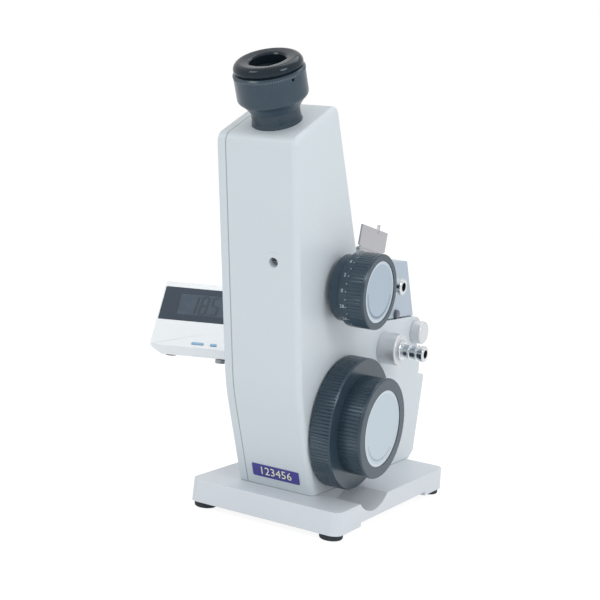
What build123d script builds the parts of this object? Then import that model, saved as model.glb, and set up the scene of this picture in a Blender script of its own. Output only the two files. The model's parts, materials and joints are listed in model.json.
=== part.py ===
from build123d import *
import os
from math import atan2, cos, degrees, hypot, pi, radians, sin, tan

# Millimetres. +X is the knob side, -Y the reader's side and +Z is up. Sizes are
# measured from the table under the middle of the base plate, and every piece is
# then moved so that the origin lies under the middle of the whole outline.

# ---- fits
running_gap = 0.05
free_gap = 0.3
film_gap = 0.15

# ---- middle of the whole outline, from the middle of the base plate
middle_x = -35.66
middle_y = -14.33

# ---- base plate
base_width = 84.0
base_depth = 125.0
base_corner = 5.0
base_top = 14.3
base_draft = 2.3
skirt_corner = 3.0
skirt_side = 5.0
pad_reach = 38.0
base_wall = 3.5
base_deck = 4.0
foot_x = 35.5
foot_y = 56.0
foot_radius = 5.7
foot_seat = 1.5
pad_radius = 8.5
scoop_radius = 22.0
scoop_floor = 8.4
scoop_block = 19.0

# ---- body housing, side outline in (y, z)
body_left = -18.0
body_right = 18.8
body_wall = 3.5
cover_thickness = 4.3
toe_front = -46.2
bend_y = -68.0
bend_z = 65.0
bend_radius = 100.0
front_top_y = -92.9
front_top_z = 183.7
rear_top_y = -55.8
rear_top_z = 202.2
shelf_z = 95.7
shelf_front = -3.5
shelf_rear = 52.3
step_y = 66.8
step_top = 68.0
step_floor = 61.5
heel_y = 74.5
heel_low_y = 69.8
heel_low_z = 18.0
heel_foot = 64.5
front_top_fillet = 5.0
rear_top_fillet = 3.5
front_edge_fillet = 3.0

# ---- optical axis: s runs up the axis from a point level with the eyepiece waist
optic_x = -1.35
optic_tilt = 26.5
waist_y = -79.2
waist_z = 197.5
top_face_s = -6.2

# ---- eyepiece
barrel_radius = 11.3
barrel_bore = 9.0
barrel_low = -34.0
barrel_high = 17.0
collar_radius = 11.8
ring_radius = 16.35
ring_low = 0.6
ring_throat = 11.85
ring_straight = 6.9
ring_shoulder = 2.3
ring_top = 19.0
ring_edge = 0.7
cup_groove = 15.0
cup_bore = 8.4
cup_crest = 12.6
cup_top = 23.8
cup_round = 3.3
grub_s = 16.4
grub_turn = 70.0
lens_radius = 7.9
focus_pin_radius = 1.0
focus_travel = 2.5

# ---- measuring drive
knob_y = -24.6
knob_z = 49.2
gear_module = 0.5
pinion_teeth = 12
sector_teeth = 84
sector_shown = 9
tooth_backlash = 0.12
gear_x = 9.7
gear_face = 3.2
drive_shaft_radius = 4.0
wheel_radius = 32.7
wheel_back = 20.0
wheel_front = 30.3
wheel_teeth = 120
knob_radius = 24.3
knob_teeth = 80
rim_radius = 24.8
knob_front = 42.5
knob_disc_radius = 18.9
bush_wall = 2.5
pivot_radius = 3.0
hub_wall = 2.0
mirror_width = 16.0
mirror_length = 22.0
mirror_thickness = 2.0
mirror_offset = 5.2
scale_radius = 33.0
scale_direction = -80.0

# ---- colour compensator
compensator_s = -90.2
crown_teeth = 50
crown_pinion_teeth = 16
dial_radius = 16.1
dial_back = 21.6
dial_step = 27.0
dial_front = 32.2
top_knob_radius = 18.1
top_knob_front = 40.8
dial_bevel = 0.9
top_knob_teeth = 64
top_disc_radius = 14.8
top_shaft_radius = 4.7
top_spigot_radius = 3.0
cell_radius = 10.5
amici_side = 13.0
plate_thickness = 4.0

# ---- objective and its calibration screw
objective_radius = 9.4
objective_s = -61.3
carriage_height = 7.0
carriage_half = 13.0
screw_x = 6.0
screw_hole = 2.35
screw_head = 2.1
screw_shank = 1.5
screw_recess = 2.5

# ---- prisms
case_front = 6.0
case_rear = 44.0
case_low = 70.0
case_half = 14.0
prism_half = 12.0
exit_half = 9.0
exit_low = 79.5
exit_high = 92.0
port_end = 12.4
hose_y = 17.7
hose_z = 81.8
hub_radius = 8.3
hub_length = 10.2
nipple_length = 13.7
nipple_barb = 4.1
nipple_root = 3.4
nipple_bore = 2.1
spigot_radius = 5.5
upper_boss_radius = 6.6
upper_boss_length = 3.8
upper_right = 18.5
upper_low = 96.0
upper_top = 126.4
upper_low_front = -1.6
upper_low_rear = 52.6
upper_top_front = -16.6
upper_top_rear = 38.0
upper_hose_y = -2.3
upper_hose_z = 116.8
hinge_y = 55.6
hinge_z = 87.0
hinge_pin_radius = 2.0
knuckle_radius = 5.5
knuckle_half = 10.7
hinge_lug_radius = 8.2
hinge_knob_radius = 6.2
hinge_knob_length = 6.0
latch_y = 29.3
latch_z = 98.5
latch_radius = 2.2
latch_proud = 1.8

# ---- light window and shutter plate
shutter_x = 12.0
shutter_front_y = -9.5
shutter_front_z = 132.2
shutter_tilt = 9.8
shutter_length = 30.6
shutter_height = 13.9
shutter_thickness = 0.9
shutter_pin_radius = 0.7
shutter_knuckle = 1.3
grip_at = 19.4
window_left = -2.6
window_margin = 2.4

# ---- thermometer console
console_x = -87.0
console_y = -42.8
console_low = 68.0
console_yaw = 28.4
console_width = 50.0
console_depth = 58.0
console_lip = 4.8
console_height = 32.0
console_run = 52.0
console_wall = 2.0
chine_width = 6.5
chine_height = 3.9
panel_start = 23.3
panel_length = 31.3
lcd_left = 9.7
lcd_right = 41.5
lcd_low = 6.0
lcd_high = 24.0
small_foot_radius = 3.0
small_foot_height = 1.3
bracket_thickness = 2.4
button_rise = 0.5
button_up = 3.6
button_depth = 1.8
button_travel = 0.6
mode_button_at = 24.7
mode_button_width = 6.0
hold_button_at = 33.1
hold_button_width = 3.0

# ---- fasteners
m3_radius = 1.5
m3_head = 2.75
m5_radius = 2.5
m5_head = 4.2

tilt = radians(optic_tilt)
optic = Plane((optic_x, waist_y, waist_z), x_dir=(1, 0, 0), z_dir=(0, -sin(tilt), cos(tilt)))


def on_axis_y(s):
    return waist_y - s * sin(tilt)


def on_axis_z(s):
    return waist_z + s * cos(tilt)


def save(name, *solids):
    flat = [piece for solid in solids for piece in solid.solids()]
    flat = [Pos(-middle_x, -middle_y, 0) * piece for piece in flat]
    shape = flat[0] if len(flat) == 1 else Compound(children=flat)
    shape.label = name
    export_step(shape, f"parts/{name}.step")


def face_of(*points):
    return make_face(Polyline(*points, close=True))


def slab(outline, x0, x1):
    return extrude(Plane.YZ.offset(x0) * outline, x1 - x0)


def rod(radius, x0, x1, y, z):
    return slab(Pos(y, z) * Circle(radius), x0, x1)


def block(x0, x1, y0, y1, z0, z1):
    centre = Pos((x0 + x1) / 2, (y0 + y1) / 2, (z0 + z1) / 2)
    return centre * Box(x1 - x0, y1 - y0, z1 - z0)


def post(radius, z0, z1, x=0.0, y=0.0):
    return Pos(x, y, (z0 + z1) / 2) * Cylinder(radius, z1 - z0)


def turned(*points):
    """A piece turned about Z from its half outline in (radius, height)."""
    return revolve(Plane.XZ * face_of(*points), Axis.Z)


def spun(wire):
    return revolve(Plane.XZ * make_face(wire), Axis.Z)


def rounded(outline, y, z, radius):
    near = outline.vertices().sort_by_distance((y, z, 0))[0]
    return fillet(near, radius)


def along_x(x, y, z):
    """Where a piece made about Z goes when its axis lies along +X."""
    return Plane((x, y, z), x_dir=(0, 1, 0), z_dir=(1, 0, 0))


def tooth(pitch_radius, module):
    half = pi * module / 4 - tooth_backlash / 2
    slope = tan(radians(20))
    low = pitch_radius - 1.25 * module
    high = pitch_radius + module
    wide = half + slope * 1.25 * module
    narrow = half - slope * module
    return face_of((low - 0.3, -wide), (high, -narrow), (high, narrow), (low - 0.3, wide))


def gear(teeth, module, start):
    pitch_radius = teeth * module / 2
    outline = Circle(pitch_radius - 1.25 * module)
    for index in range(teeth):
        outline += Rot(0, 0, start + index * 360 / teeth) * tooth(pitch_radius, module)
    return outline


def fluted(radius, depth, count, length, edge):
    """A grip: a disc with straight flutes and a chamfered front edge."""
    step = 2 * pi / count
    points = []
    for index in range(count):
        middle = index * step
        points.append((radius * cos(middle - 0.3 * step), radius * sin(middle - 0.3 * step)))
        points.append((radius * cos(middle + 0.3 * step), radius * sin(middle + 0.3 * step)))
        inner = radius - depth
        points.append((inner * cos(middle + 0.5 * step), inner * sin(middle + 0.5 * step)))
    grip = extrude(face_of(*points), length)
    limit = turned((0, 0), (radius, 0), (radius, length - edge), (radius - edge, length), (0, length))
    return grip & limit


# ======== base plate
base_outline = RectangleRounded(base_width, base_depth, base_corner)
base_height = base_top - skirt_corner
base = extrude(Pos(0, 0, skirt_corner) * base_outline, base_height, taper=base_draft)
base -= block(-base_width, base_width, -pad_reach, pad_reach, 0, skirt_side)
pocket_outline = RectangleRounded(base_width - 2 * base_wall - 1, base_depth - 2 * base_wall - 1, 2.5)
pocket = extrude(pocket_outline, base_top - base_deck)
foot_spots = [(sx * foot_x, sy * foot_y) for sx in (-1, 1) for sy in (-1, 1)]
for x, y in foot_spots:
    pocket -= post(pad_radius, skirt_corner, base_top, x, y)
scoop_half = (scoop_radius**2 - (scoop_radius - (base_top - scoop_floor)) ** 2) ** 0.5
pocket -= block(scoop_block - 3, base_width, knob_y - scoop_half - 3, knob_y + scoop_half + 3, 0, base_top)
base -= pocket
base -= rod(scoop_radius, body_right + 0.2, base_width, knob_y, scoop_floor + scoop_radius)
for x, y in foot_spots:
    base -= post(foot_radius + running_gap, 0, skirt_corner + foot_seat, x, y)
    base -= post(m3_radius, 0, base_top - 3, x, y)
bolt_spots = [(x, y) for x in (-10, 8) for y in (-34, 46)]
for x, y in bolt_spots:
    base -= post(m5_radius + running_gap, 0, base_top + 1, x, y)
save("base_plate", base)

foot = post(foot_radius, 0, skirt_corner + foot_seat)
foot = chamfer(foot.edges().group_by(Axis.Z)[0], 0.6)
foot -= post(m3_head + free_gap, 0, 2.6)
foot -= post(m3_radius + running_gap, 0, 9)
save("rubber_feet", *[Pos(x, y, 0) * foot for x, y in foot_spots])

foot_screw = post(m3_head, 0.8, 2.6) + post(m3_radius, 2.6, base_top - 4)
foot_screw -= post(1.25, 0, 1.8)
save("foot_screws", *[Pos(x, y, 0) * foot_screw for x, y in foot_spots])

# ======== body housing
outline = face_of(
    (toe_front, base_top),
    (bend_y, bend_z),
    (front_top_y, front_top_z),
    (rear_top_y, rear_top_z),
    (shelf_front, shelf_z),
    (shelf_rear, shelf_z),
    (step_y, step_top),
    (step_y, step_floor),
    (heel_y, step_floor),
    (heel_low_y, heel_low_z),
    (heel_foot, base_top),
)
outline = rounded(outline, bend_y, bend_z, bend_radius)
outline = rounded(outline, front_top_y, front_top_z, front_top_fillet)
outline = rounded(outline, rear_top_y, rear_top_z, rear_top_fillet)
outline = rounded(outline, heel_y, step_floor, 2.0)
outline = rounded(outline, step_y, step_top, 2.0)

hinge_block = face_of(
    (case_rear + 2, 77),
    (step_y, 77),
    (step_y, shelf_z + 5),
    (case_rear + 2, shelf_z + 5),
)
cavity_outline = offset(outline, -body_wall, kind=Kind.INTERSECTION)
cavity_outline -= hinge_block
body = slab(outline, body_left, body_right)
right_rim = body.edges().group_by(Axis.X)[-1]
rounded_rim = [edge for edge in right_rim if edge.center().Y < shelf_front and edge.center().Z > base_top + 1]
body = fillet(rounded_rim, front_edge_fillet)
body -= slab(cavity_outline, body_left, body_right - body_wall)

# Bosses: cover screws, bolts up from the base, the two shafts and the mirror post.
cover_screw_spots = [
    (toe_front + 1.0, 23.0),
    (bend_y + 1.2, 88.0),
    (front_top_y + 5.9, front_top_z - 6.7),
    (rear_top_y + 0.8, rear_top_z - 12.0),
    (shelf_front - 8.5, shelf_z + 4.6),
    (heel_low_y - 5.2, 24.0),
    (heel_y - 5.6, step_floor - 5.6),
]
for y, z in cover_screw_spots:
    boss = rod(3.8, body_left, body_right - 1, y, z) & slab(outline, body_left, body_right - 1)
    body += boss
for x, y in bolt_spots:
    body += post(6.0, base_top + 1, base_top + 12, x, y)
body += rod(9.0, 13.3, body_right - 1, knob_y, knob_z)
compensator_y = on_axis_y(compensator_s)
compensator_z = on_axis_z(compensator_s)
body += rod(10.0, 13.3, body_right - 1, compensator_y, compensator_z)

gear_centre = (pinion_teeth + sector_teeth) * gear_module / 2
drop = hypot(waist_y - knob_y, waist_z - knob_z)
along = (knob_y - waist_y) * sin(tilt) + (waist_z - knob_z) * cos(tilt)
pivot_s = (gear_centre**2 - drop**2 + along**2) ** 0.5 - along
pivot_y = on_axis_y(pivot_s)
pivot_z = on_axis_z(pivot_s)
body += rod(6.5, 13.8, body_right - 1, pivot_y, pivot_z)

# Bores and openings.
for x, y in bolt_spots:
    body -= post(m5_radius, base_top - 1, base_top + 10, x, y)
for y, z in cover_screw_spots:
    body -= rod(m3_radius - 0.2, body_left - 1, body_left + 9, y, z)
drive_bush_radius = drive_shaft_radius + running_gap + bush_wall
top_bush_radius = top_shaft_radius + running_gap + bush_wall
body -= rod(drive_bush_radius, 13, body_right + 1, knob_y, knob_z)
body -= rod(top_bush_radius, 13, body_right + 1, compensator_y, compensator_z)
body -= rod(pivot_radius, 0, 16.8, pivot_y, pivot_z)
body -= block(-case_half - running_gap, case_half + running_gap, case_front, case_rear, case_low, shelf_z + 1)
body -= rod(spigot_radius + running_gap, 0, body_right + 1, hose_y, hose_z)
body -= optic.location * post(barrel_radius, -14, 5)
notch_outline = face_of(
    (hinge_y - knuckle_radius - 0.7, hinge_z),
    (hinge_y - knuckle_radius - 0.7, shelf_z + 9),
    (step_y + 9, shelf_z + 9),
    (step_y + 9, hinge_z - knuckle_radius - 0.7),
    (hinge_y, hinge_z - knuckle_radius - 0.7),
)
notch_outline += Pos(hinge_y, hinge_z) * Circle(knuckle_radius + 0.7)
body += slab(Pos(hinge_y, hinge_z) * Circle(hinge_lug_radius), knuckle_half + 0.6, body_right)
body += slab(Pos(hinge_y, hinge_z) * Circle(hinge_lug_radius), body_left, -knuckle_half - 0.6)
body -= slab(notch_outline, -knuckle_half - 0.6, knuckle_half + 0.6)
body -= rod(hinge_pin_radius + running_gap, body_left - 1, body_right + 1, hinge_y, hinge_z)

# The calibration screw points at the objective, square to the optical axis.
across = Plane((screw_x, on_axis_y(objective_s), on_axis_z(objective_s)),
               x_dir=(1, 0, 0), z_dir=(0, -cos(tilt), -sin(tilt)))
front_slope = (front_top_y - bend_y) / (front_top_z - bend_z)
reach_top = bend_y + front_slope * (on_axis_z(objective_s) - bend_z) - on_axis_y(objective_s)
front_reach = reach_top / (-cos(tilt) + front_slope * sin(tilt))
body += across.location * post(5.0, front_reach - 12, front_reach - 1)
body -= across.location * post(screw_hole, front_reach - 5.2, front_reach + 6)
body -= across.location * post(screw_shank + running_gap, front_reach - 13, front_reach)
save("body_housing", body)

# ======== left side cover
cover = slab(outline, body_left - cover_thickness, body_left)
for y, z in cover_screw_spots:
    cover -= rod(m3_radius + running_gap, body_left - cover_thickness, body_left, y, z)
    cover -= rod(m3_head + running_gap, body_left - cover_thickness, body_left - 1.6, y, z)
cover_face = body_left - cover_thickness
cover -= rod(spigot_radius + running_gap, cover_face, body_left, hose_y, hose_z)
cover -= rod(hinge_pin_radius + running_gap, body_left - 2, body_left, hinge_y, hinge_z)
scale_y = pivot_y + scale_radius * cos(radians(scale_direction))
scale_z = pivot_z + scale_radius * sin(radians(scale_direction))
cover -= rod(5.0, cover_face, body_left, scale_y, scale_z)
cover -= rod(6.0, cover_face, cover_face + 1.6, scale_y, scale_z)
socket_y = 40.0
socket_z = 66.0
cover -= rod(4.0, cover_face, body_left, socket_y, socket_z)
bracket_screw_spots = [(5.0, 57.0), (20.0, 57.0)]
for y, z in bracket_screw_spots:
    cover -= rod(m3_radius - 0.2, cover_face, body_left, y, z)
save("left_cover", cover)

cover_screw = rod(m3_head, 0.2, 1.9, 0, 0) + rod(m3_radius - 0.2, 1.9, 10, 0, 0)
cover_screw -= block(0, 0.9, -m3_head, m3_head, -0.35, 0.35)
save("cover_screws", *[Pos(cover_face, y, z) * cover_screw for y, z in cover_screw_spots])

body_bolt = post(m5_head, -3.6, 0) + post(m5_radius, 0, 13)
body_bolt -= extrude(Pos(0, 0, -3.6) * RegularPolygon(2.3, 6), 2.0)
save("body_bolts", *[Pos(x, y, base_top - base_deck) * body_bolt for x, y in bolt_spots])

save("scale_window", rod(6.0 - running_gap, cover_face, cover_face + 1.6, scale_y, scale_z))

socket = rod(5.5, -3.5, 0, 0, 0) + rod(4.0, 0, 4.5, 0, 0) - rod(3.0, -3.5, 3.0, 0, 0)
save("sensor_socket", Pos(cover_face, socket_y, socket_z) * socket)

toe_slope = atan2(bend_y - toe_front, bend_z - base_top)
label_place = Plane((-0.7, toe_front + tan(toe_slope) * (22.55 - base_top), 22.55),
                    x_dir=(1, 0, 0), z_dir=(0, -cos(toe_slope), -sin(-toe_slope)))
label = label_place.location * extrude(RectangleRounded(26.4, 7.1, 0.6), 0.4)
save("label_plate", label)

# ======== telescope and eyepiece
barrel = turned(
    (barrel_bore, barrel_low),
    (barrel_radius, barrel_low),
    (barrel_radius, top_face_s),
    (collar_radius, top_face_s),
    (barrel_radius, top_face_s + 2.2),
    (barrel_radius, barrel_high),
    (barrel_bore, barrel_high),
)
pin_s = 10.0
slot_low = pin_s - focus_travel - focus_pin_radius - 0.2
slot_high = pin_s + focus_travel + focus_pin_radius + 0.2
slot_half = focus_pin_radius + running_gap
barrel -= block(-slot_half, slot_half, -barrel_radius - 1, 0, slot_low, slot_high)
save("telescope_barrel", optic.location * barrel)

reticle = post(barrel_bore - running_gap, -9.5, -8.0)
save("reticle_plate", optic.location * reticle)

ring_bore = barrel_radius + running_gap
turn_in = radians(50)
shoulder_r = ring_radius - ring_shoulder * (1 - cos(turn_in))
shoulder_s = ring_straight - ring_shoulder * sin(turn_in)
ring_outline = Polyline(
    (ring_throat, ring_low),
    (ring_bore, ring_low),
    (ring_bore, slot_low - 0.5),
    (ring_bore + 1.3, slot_low - 0.5),
    (ring_bore + 1.3, slot_high + 0.5),
    (ring_bore, slot_high + 0.5),
    (ring_bore, barrel_high + 0.3),
    (cup_bore + 0.7, barrel_high + 0.3),
    (cup_bore + 0.7, ring_top),
    (ring_radius - ring_edge, ring_top),
    (ring_radius, ring_top - ring_edge),
    (ring_radius, ring_straight),
)
ring_outline += ThreePointArc(
    (ring_radius, ring_straight),
    (ring_radius - ring_shoulder * (1 - cos(turn_in / 2)), ring_straight - ring_shoulder * sin(turn_in / 2)),
    (shoulder_r, shoulder_s),
)
ring_outline += TangentArc((shoulder_r, shoulder_s), (ring_throat, ring_low), tangent=(-sin(turn_in), -cos(turn_in)))
focus_ring = spun(ring_outline)
focus_ring -= Pos(0, 0, grub_s) * Rot(0, 0, grub_turn) * Pos(0, -ring_radius, 0) * Rot(90, 0, 0) * Cylinder(0.75, 4)
save("focus_ring", optic.location * focus_ring)

# The soft eyecup: a groove above the ring, a round outer wall and a slightly dished top.
crown_s = cup_top - cup_round
cup_turn = cup_round * cos(radians(45))
cup_outline = Polyline(
    (cup_crest, cup_top),
    (cup_bore + 1.0, cup_top - 0.4),
    (cup_bore, cup_top - 1.4),
    (cup_bore, ring_top),
    (cup_groove, ring_top),
    (cup_groove, ring_top + 0.6),
    (cup_crest + cup_round, ring_top + 1.2),
    (cup_crest + cup_round, crown_s),
)
cup_outline += ThreePointArc(
    (cup_crest + cup_round, crown_s),
    (cup_crest + cup_turn, crown_s + cup_turn),
    (cup_crest, cup_top),
)
eyecup = spun(cup_outline)
save("eyecup", optic.location * eyecup)

cell_low = 4.5
cell_high = 14.5
ocular_cell = post(barrel_bore - running_gap, cell_low, cell_high) - post(lens_radius, cell_low, cell_high)
ocular_cell += post(lens_radius, 8.8, 11.2) - post(lens_radius - 1.0, 8.8, 11.2)
pin_end = ring_bore + 1.0
ocular_cell += Pos(0, -(pin_end + 8.3) / 2, pin_s) * Rot(90, 0, 0) * Cylinder(focus_pin_radius, pin_end - 8.3)
save("ocular_cell", optic.location * ocular_cell)
save("ocular_lenses", optic.location * post(lens_radius, 5.6, 8.8), optic.location * post(lens_radius, 11.2, 14.0))

# ======== objective, carriage and calibration screw
carriage_floor = objective_s - carriage_height / 2
carriage = block(-carriage_half, carriage_half, -carriage_half, carriage_half,
                 carriage_floor, carriage_floor + carriage_height)
carriage -= post(objective_radius - 0.8, carriage_floor, carriage_floor + carriage_height)
carriage -= post(objective_radius, carriage_floor + 1.5, carriage_floor + carriage_height)
carriage = optic.location * carriage
carriage -= across.location * post(screw_shank + running_gap, carriage_half - 4.5, carriage_half + 1)
save("objective_carriage", carriage)
save("objective_lens", optic.location * post(objective_radius, carriage_floor + 1.5, carriage_floor + 6.0))

head_top = front_reach - screw_recess
calibration_screw = post(screw_head, front_reach - 5, head_top) + post(screw_shank, carriage_half - 4, front_reach - 5)
calibration_screw -= block(-screw_head, screw_head, -0.35, 0.35, head_top - 1, head_top)
save("calibration_screw", across.location * calibration_screw)

# ======== colour compensator
crown_radius = crown_teeth * gear_module / 2
crown_pinion_radius = crown_pinion_teeth * gear_module / 2
crown_outer = crown_radius + 1.0
crown_inner = crown_radius - 1.3
tooth_floor = crown_pinion_radius + 1.25 * gear_module
crown = post(crown_outer, tooth_floor, tooth_floor + 2)
crown_pitch = 360 / crown_teeth
tooth_bar = Rectangle(crown_outer - crown_inner, pi * gear_module / 2 - tooth_backlash - 0.3)
ring_of_teeth = [Rot(0, 0, (i + 0.5) * crown_pitch) * Pos((crown_outer + crown_inner) / 2, 0) * tooth_bar
                 for i in range(crown_teeth)]
teeth_face = Sketch() + ring_of_teeth
crown += extrude(Pos(0, 0, crown_pinion_radius - 0.8 * gear_module) * teeth_face, 2.05 * gear_module + 0.1)
cell = crown + post(cell_radius, tooth_floor + 2, tooth_floor + 14)
cell -= block(-amici_side / 2, amici_side / 2, -amici_side / 2, amici_side / 2, 0, 40)
amici = block(-amici_side / 2, amici_side / 2, -amici_side / 2, amici_side / 2, tooth_floor + 1, tooth_floor + 13)
upper_spot = optic.location * Pos(0, 0, compensator_s)
lower_spot = optic.location * Pos(0, 0, compensator_s) * Rot(180, 0, 0)
save("upper_amici_cell", upper_spot * cell)
save("upper_amici_prism", upper_spot * amici)
save("lower_amici_cell", lower_spot * cell)
save("lower_amici_prism", lower_spot * amici)

plate_half = (body_right - body_wall - body_left) / 2
plate = Box(2 * plate_half, 30, plate_thickness)
cell_plate = plate - Cylinder(cell_radius + running_gap, plate_thickness)
lens_plate = plate - Cylinder(objective_radius - 0.8, plate_thickness)
plate_reach = tooth_floor + 9 + plate_thickness / 2
optics_plates = [
    optic.location * Pos(0, 0, compensator_s + plate_reach) * cell_plate,
    optic.location * Pos(0, 0, compensator_s - plate_reach) * cell_plate,
    optic.location * Pos(0, 0, carriage_floor - running_gap - plate_thickness / 2) * lens_plate,
]
save("optics_plates", *optics_plates)

bushes = [
    rod(drive_bush_radius, 13.3, body_right, knob_y, knob_z)
    - rod(drive_shaft_radius + running_gap, 13, 20, knob_y, knob_z),
    rod(top_bush_radius, 13.3, body_right, compensator_y, compensator_z)
    - rod(top_shaft_radius + running_gap, 13, 20, compensator_y, compensator_z),
]
save("shaft_bushes", *bushes)

crown_mid = optic_x + crown_radius
compensator_shaft = rod(top_shaft_radius, crown_mid + 1.6, dial_step, 0, 0)
compensator_shaft += rod(top_spigot_radius, dial_step, top_knob_front - 2, 0, 0)
crown_pinion = gear(crown_pinion_teeth, gear_module, 90)
compensator_shaft += slab(crown_pinion, crown_mid - 1.1, crown_mid + 1.6)
lean = Rot(optic_tilt, 0, 0)
compensator_place = Pos(0, compensator_y, compensator_z)
save("compensator_shaft", compensator_place * lean * compensator_shaft)

dial_length = dial_front - dial_back
band_start = dial_step - dial_back
dial = turned(
    (top_shaft_radius, 0),
    (dial_radius - 0.6, 0),
    (dial_radius, 0.6),
    (dial_radius, band_start),
    (top_knob_radius - dial_bevel, band_start),
    (top_knob_radius, band_start + dial_bevel),
    (top_knob_radius, dial_length),
    (top_spigot_radius, dial_length),
    (top_spigot_radius, band_start),
    (top_shaft_radius, band_start),
)
save("compensator_dial", along_x(dial_back, compensator_y, compensator_z).location * dial)

top_length = top_knob_front - dial_front
grip = fluted(top_knob_radius, 0.35, top_knob_teeth, top_length - 1.2, 0.3)
grip += turned((0, top_length - 1.4), (top_knob_radius, top_length - 1.3), (top_knob_radius, top_length - 0.5),
               (top_knob_radius - 0.5, top_length), (0, top_length))
grip -= post(top_spigot_radius, -1, top_length)
grip -= post(top_disc_radius + running_gap, top_length - 2, top_length)
save("compensator_knob", along_x(dial_front, compensator_y, compensator_z).location * grip)
top_disc = post(top_disc_radius, top_length - 2, top_length - 0.4)
save("compensator_knob_disc", along_x(dial_front, compensator_y, compensator_z).location * top_disc)

# ======== measuring drive
to_pinion = degrees(atan2(knob_z - pivot_z, knob_y - pivot_y))
pinion = gear(pinion_teeth, gear_module, to_pinion + 180 + 180 / pinion_teeth)
drive_shaft = slab(Pos(knob_y, knob_z) * pinion, gear_x, gear_x + gear_face + 0.2)
drive_shaft += rod(drive_shaft_radius, gear_x + gear_face + 0.2, knob_front - 1.9, knob_y, knob_z)
save("measuring_shaft", drive_shaft)

wheel_length = wheel_front - wheel_back
wheel = fluted(wheel_radius, 0.5, wheel_teeth, wheel_length, 0.8)
wheel -= turned((9, -1), (wheel_radius - 4, -1), (wheel_radius - 5, 4), (9, 4))
wheel -= post(drive_shaft_radius, -1, wheel_length + 1)
save("measuring_wheel", along_x(wheel_back, knob_y, knob_z).location * wheel)

knob_length = knob_front - wheel_front
knob = fluted(knob_radius, 0.4, knob_teeth, knob_length - 1.5, 0.3)
knob += turned((0, knob_length - 1.8), (rim_radius, knob_length - 1.6), (rim_radius, knob_length - 0.9),
               (rim_radius - 0.3, knob_length - 0.3), (rim_radius - 0.9, knob_length), (0, knob_length))
knob -= post(drive_shaft_radius, -1, knob_length + 1)
knob -= post(knob_disc_radius + running_gap, knob_length - 1.9, knob_length + 1)
save("measuring_knob", along_x(wheel_front, knob_y, knob_z).location * knob)
knob_disc = post(knob_disc_radius, knob_length - 1.9, knob_length - 0.4)
save("measuring_knob_disc", along_x(wheel_front, knob_y, knob_z).location * knob_disc)

sector_post = rod(pivot_radius, body_left, 16.8, pivot_y, pivot_z)
sector_post += rod(pivot_radius + 1.5, 13.0, 13.8, pivot_y, pivot_z)
save("mirror_post", sector_post)

sector_radius = sector_teeth * gear_module / 2
sector_pitch = 360 / sector_teeth
spread = (sector_shown + 1) / 2 * sector_pitch
root_radius = sector_radius - 1.25 * gear_module
far = root_radius / cos(radians(spread))
wedge = face_of((0, 0), (far, -far * tan(radians(spread))), (far, far * tan(radians(spread))))
sector_face = wedge & Circle(root_radius)
for index in range(sector_shown):
    turn = (index - (sector_shown - 1) / 2) * sector_pitch
    sector_face += Rot(0, 0, turn) * tooth(sector_radius, gear_module)
hub_radius_small = pivot_radius + running_gap + hub_wall
sector_face += Circle(hub_radius_small + 1.5)
sector_face -= Pos(12.5, 0) * Circle(2.6)
place_sector = Pos(pivot_y, pivot_z) * Rot(0, 0, to_pinion)
sector = slab(place_sector * sector_face, gear_x + 0.3, gear_x + gear_face - 0.3)
hub_low = body_left + 2.6
sector += rod(hub_radius_small, hub_low, 12.8, pivot_y, pivot_z)
exit_y = 11.5
exit_z = 86.0
run_in = hypot(exit_y - pivot_y, exit_z - pivot_z)
facing_y = -sin(tilt) + (exit_y - pivot_y) / run_in
facing_z = cos(tilt) + (exit_z - pivot_z) / run_in
facing = degrees(atan2(facing_z, facing_y))
mirror_place = Plane((optic_x, pivot_y, pivot_z), x_dir=(1, 0, 0),
                     z_dir=(0, cos(radians(facing)), sin(radians(facing))))
tray = block(-mirror_width / 2 - 1, mirror_width / 2 + 1, -mirror_length / 2 - 1, mirror_length / 2 + 1,
             hub_radius_small - 1.3, mirror_offset)
sector += mirror_place.location * tray
arm_outline = Pos(scale_radius / 2, 0) * Rectangle(scale_radius + 2, 5) + Circle(hub_radius_small + 1)
arm_outline += Pos(scale_radius - 1, 0) * Rectangle(12, 15)
arm_outline -= Pos(scale_radius, 0) * Rectangle(6.5, 11)
place_arm = Pos(pivot_y, pivot_z) * Rot(0, 0, scale_direction)
sector += slab(place_arm * arm_outline, hub_low, hub_low + 2)
sector -= rod(pivot_radius + running_gap, body_left, 20, pivot_y, pivot_z)
save("sector_arm", sector)
mirror = block(-mirror_width / 2, mirror_width / 2, -mirror_length / 2, mirror_length / 2,
               mirror_offset, mirror_offset + mirror_thickness)
save("mirror", mirror_place.location * mirror)
scale_glass = slab(place_arm * (Pos(scale_radius, 0) * Rectangle(6.5, 11)), hub_low + 0.2, hub_low + 1.8)
save("scale_glass", scale_glass)

# ======== main prism in its water jacket
prism_top = shelf_z + 0.05
lower_prism = face_of((8.0, prism_top), (42.0, prism_top), (15.0, 77.0))
prism_case = block(-case_half, case_half, case_front, case_rear, case_low, shelf_z)
prism_case -= slab(lower_prism, -prism_half, prism_half)
prism_case -= block(-exit_half, exit_half, case_front - 1, case_front + 8, exit_low, exit_high)
for side in (-1, 1):
    ends = sorted((side * port_end, side * (case_half + 1)))
    prism_case -= rod(nipple_root, *ends, hose_y, hose_z)
save("main_prism_case", prism_case)
save("main_prism", slab(lower_prism, -prism_half, prism_half))


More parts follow.
